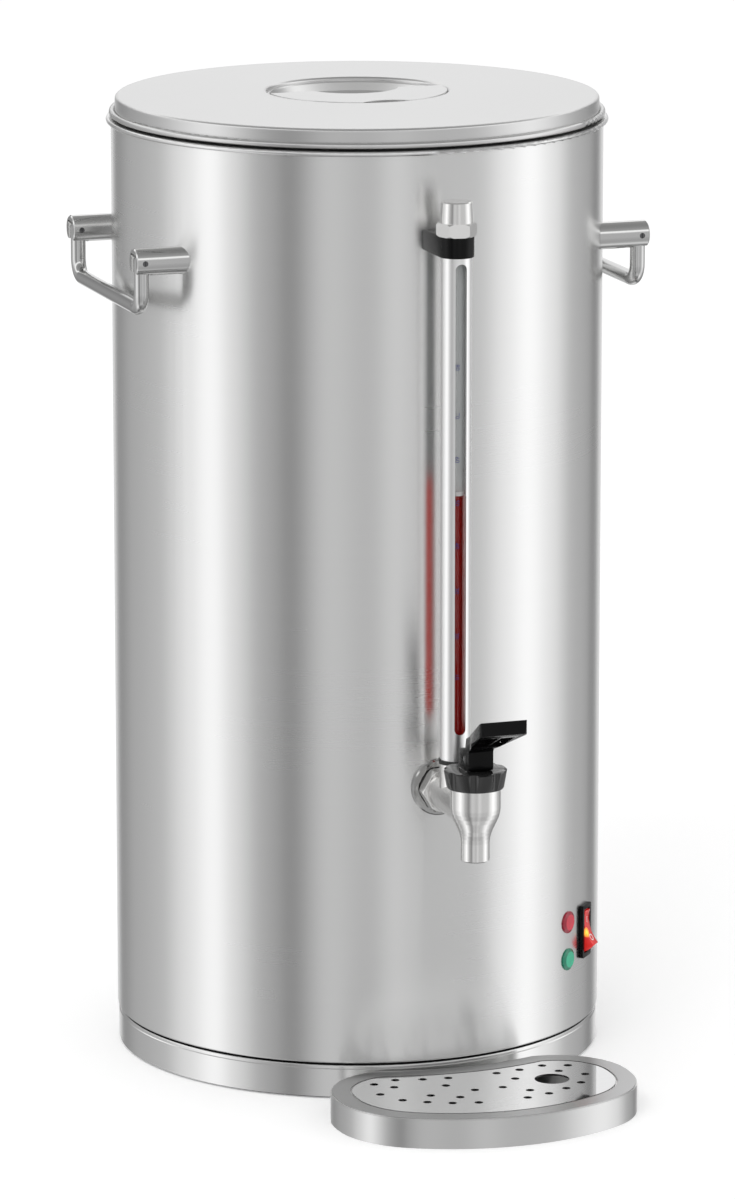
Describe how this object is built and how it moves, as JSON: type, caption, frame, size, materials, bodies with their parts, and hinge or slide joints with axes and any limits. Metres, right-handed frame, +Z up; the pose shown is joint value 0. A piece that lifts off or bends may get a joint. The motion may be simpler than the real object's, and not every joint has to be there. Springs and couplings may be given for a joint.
{
  "type": "coffee urn",
  "caption": "Tall steel coffee urn with a lift-off lid, side bail handles, a sight gauge over a lever tap, a rocker switch with pilot lights and a loose drip tray.",
  "frame": {"origin": "on the urn's vertical axis, at the table surface", "axes": "+Z up, -Y towards the tap, +X to the right of someone who faces the tap"},
  "size_m": [0.294, 0.384, 0.5354],
  "materials": {
    "brushed_shell": "brushed round the body",
    "satin_lid": "satin",
    "satin_base": "satin",
    "satin_steel": "satin",
    "polished_plate": "polished",
    "chrome": "satin plated",
    "zinc": "zinc plated",
    "black_plastic": "moulded",
    "black_rubber": "matte",
    "silicone": "matte",
    "glass": "clear",
    "brew": "liquid",
    "red_cap": "gloss",
    "red_lens": "lens",
    "green_lens": "lens",
    "cast_block": "as cast",
    "ceramic": "matte",
    "lead": "matte"
  },
  "bodies": {
    "urn": {"outer_shell": "brushed_shell", "base_ring": "satin_base", "base_plate": "zinc", "foot_ring": "black_rubber", "tie_rods": "zinc", "tie_rod_nuts": "zinc", "inner_vessel": "satin_steel", "left_posts": "satin_steel", "right_posts": "satin_steel", "post_saddles": "satin_steel", "post_screws": "zinc", "pivot_screws": "zinc", "gauge_bracket": "black_plastic", "bracket_screws": "zinc", "gauge_head": "chrome", "gauge_cap": "chrome", "gauge_shield": "satin_steel", "gauge_glass": "glass", "gauge_liquid": "brew", "gauge_foot_seal": "black_rubber", "gauge_head_seal": "black_rubber", "tap_collar": "chrome", "tap_outer_seal": "black_rubber", "tap_nut": "chrome", "jacket_spacer": "zinc", "tap_inner_seal": "black_rubber", "tap_lock_nut": "chrome", "tap_body": "chrome", "tap_bonnet": "black_plastic", "tap_spring": "zinc", "switch_frame": "black_plastic", "red_light": "red_lens", "green_light": "green_lens", "light_nuts": "zinc", "cord_gland": "black_plastic", "gland_nut": "black_plastic", "heater_block": "cast_block", "warm_ring": "cast_block", "brew_thermostat": "black_plastic", "boil_dry_cutout": "black_plastic", "terminal_block": "ceramic", "wiring": "lead"},
    "lid": {"lid_shell": "satin_lid", "lid_ring": "satin_steel", "lid_seal": "black_rubber", "lid_cup": "satin_lid", "grip_plate": "satin_lid"},
    "left_handle": {"left_bail": "satin_steel"},
    "right_handle": {"right_bail": "satin_steel"},
    "stem": {"valve_stem": "chrome", "seat_cup": "silicone"},
    "lever": {"tap_lever": "black_plastic", "lever_pin": "zinc"},
    "rocker": {"switch_rocker": "red_cap"},
    "tray": {"drip_tray": "satin_steel"},
    "grid": {"tray_grid": "polished_plate"},
    "percolator": {"riser_tube": "satin_steel", "filter_basket": "satin_steel"},
    "spreader": {"basket_spreader": "satin_steel"}
  },
  "joints": [
    {"name": "lid_lift", "type": "slide", "parent": "urn", "child": "lid", "axis": [0, 0, 1], "range_m": [0, 0.08]},
    {"name": "left_handle_swing", "type": "hinge", "parent": "urn", "child": "left_handle", "pos_m": [-0.1424, 0, 0.457], "axis": [0, 1, 0], "range_deg": [-3, 90]},
    {"name": "right_handle_swing", "type": "hinge", "parent": "urn", "child": "right_handle", "pos_m": [0.1424, 0, 0.457], "axis": [0, -1, 0], "range_deg": [-3, 90]},
    {"name": "stem_lift", "type": "slide", "parent": "urn", "child": "stem", "axis": [0, 0, 1], "range_m": [0, 0.0033], "deforming": ["tap_spring"]},
    {"name": "tap_lever_press", "type": "hinge", "parent": "stem", "child": "lever", "pos_m": [0, -0.193, 0.2035], "axis": [1, 0, 0], "range_deg": [0, 30], "stiffness_Nm_per_rad": 0.35, "springref_deg": -34.38},
    {"name": "power_rocker", "type": "hinge", "parent": "urn", "child": "rocker", "pos_m": [0.1009, -0.08588, 0.0724], "axis": [0.6481, 0.7615, 0], "range_deg": [0, 30]},
    {"name": "percolator_lift", "type": "slide", "parent": "urn", "child": "percolator", "axis": [0, 0, 1], "range_m": [0, 0.015]},
    {"name": "spreader_lift", "type": "slide", "parent": "percolator", "child": "spreader", "axis": [0, 0, 1], "range_m": [0, 0.009]},
    {"name": "tray_slide", "type": "slide", "parent": "urn", "child": "tray", "axis": [0, -1, 0], "range_m": [0, 0.12]},
    {"name": "grid_lift", "type": "slide", "parent": "tray", "child": "grid", "axis": [0, 0, 1], "range_m": [0, 0.04]}
  ],
  "couplings": [
    {"joint": "stem_lift", "follows": "tap_lever_press", "m_per_rad": 0.0063}
  ]
}
